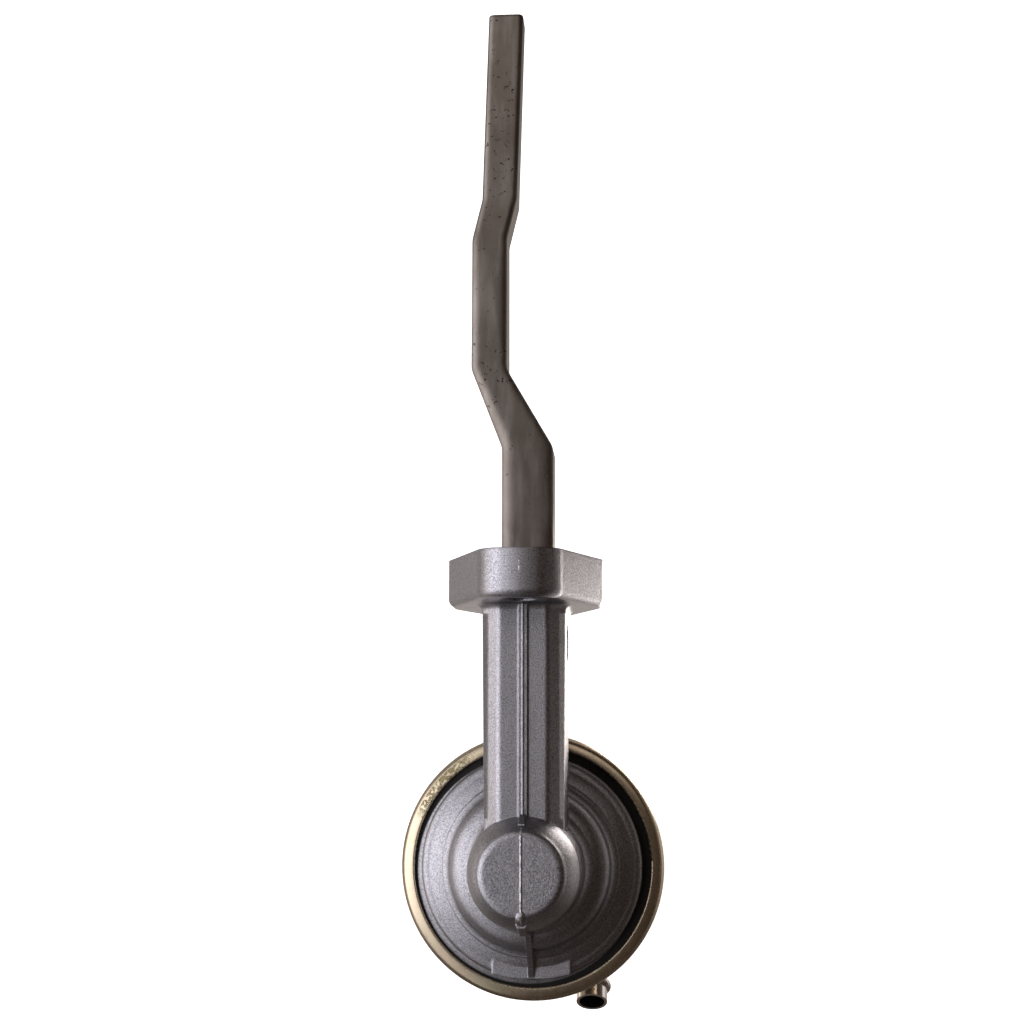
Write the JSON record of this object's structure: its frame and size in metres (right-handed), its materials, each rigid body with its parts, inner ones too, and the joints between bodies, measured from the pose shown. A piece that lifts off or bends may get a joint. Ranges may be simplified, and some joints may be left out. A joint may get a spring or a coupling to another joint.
{
  "type": "mechanical fuel pump",
  "caption": "Engine-driven diaphragm fuel pump: cast flanged neck and domed housing, long cranked rocker arm, crimped steel lower body with hose nipples.",
  "frame": {"origin": "centre of the flange's mounting face, on the neck's axis", "axes": "+Y out of the mounting face along the rocker arm, +Z along the diaphragm axis towards the dome, +X to the side of the outlet nipple"},
  "size_m": [0.08, 0.3043, 0.1176],
  "materials": {
    "cast_aluminium": "shot-blasted die casting",
    "forged_steel": "dark forged steel with fine pits",
    "hardened_steel": "ground",
    "plain_steel": "pressed sheet",
    "zinc_steel": "bright zinc plated",
    "spring_steel": "oiled wire",
    "yellow_zinc": "yellow zinc plated steel, slightly iridescent",
    "bright_plated": "bright plated tube",
    "brass": "turned",
    "bronze": "sintered bush",
    "black_rubber": "matt",
    "diaphragm_fabric": "fabric-backed rubber",
    "gasket": "fuel-proof sheet"
  },
  "bodies": {
    "pump_body": {"upper_housing": "cast_aluminium", "rocker_pin": "hardened_steel", "pin_plug_left": "plain_steel", "pin_plug_right": "plain_steel", "pin_spacer_left": "plain_steel", "pin_spacer_right": "plain_steel", "rod_seal": "black_rubber", "seal_retainer": "plain_steel", "diaphragm": "diaphragm_fabric", "rocker_return_spring": "spring_steel", "diaphragm_spring": "spring_steel", "lower_body": "yellow_zinc", "valve_plate": "cast_aluminium", "inlet_valve_cage": "brass", "inlet_valve_spring": "spring_steel", "inlet_valve_retainer": "brass", "outlet_valve_cage": "brass", "outlet_valve_spring": "spring_steel", "outlet_valve_retainer": "brass", "cover_gasket": "gasket", "bottom_cover": "yellow_zinc", "inlet_nipple": "bright_plated", "outlet_nipple": "bright_plated"},
    "rocker": {"rocker_arm": "forged_steel", "rocker_bush": "bronze"},
    "link": {"link_lever": "plain_steel"},
    "rod": {"pull_rod": "hardened_steel", "upper_diaphragm_plate": "zinc_steel", "lower_diaphragm_plate": "zinc_steel", "rod_nut": "zinc_steel"},
    "inlet_disc": {"inlet_valve_disc": "black_rubber"},
    "outlet_disc": {"outlet_valve_disc": "black_rubber"}
  },
  "joints": [
    {"name": "rocker_hinge", "type": "hinge", "parent": "pump_body", "child": "rocker", "pos_m": [0, -0.024, 0], "axis": [-1, 0, 0], "range_deg": [0, 4], "stiffness_Nm_per_rad": 12, "springref_deg": -2.86, "deforming": ["rocker_return_spring"]},
    {"name": "link_hinge", "type": "hinge", "parent": "pump_body", "child": "link", "pos_m": [0, -0.024, 0], "axis": [-1, 0, 0], "range_deg": [0, 4]},
    {"name": "rod_slide", "type": "slide", "parent": "pump_body", "child": "rod", "axis": [0, 0, 1], "range_m": [0, 0.0046], "deforming": ["diaphragm_spring", "diaphragm"]},
    {"name": "inlet_valve_lift", "type": "slide", "parent": "pump_body", "child": "inlet_disc", "axis": [0, 0, 1], "range_m": [0, 0.0015], "stiffness_N_per_m": 20, "springref_m": -0.001, "deforming": ["inlet_valve_spring"]},
    {"name": "outlet_valve_lift", "type": "slide", "parent": "pump_body", "child": "outlet_disc", "axis": [0, 0, -1], "range_m": [0, 0.0015], "stiffness_N_per_m": 20, "springref_m": -0.001, "deforming": ["outlet_valve_spring"]}
  ],
  "couplings": [
    {"joint": "link_hinge", "follows": "rocker_hinge", "ratio": 1},
    {"joint": "rod_slide", "follows": "rocker_hinge", "m_per_rad": 0.0655}
  ]
}
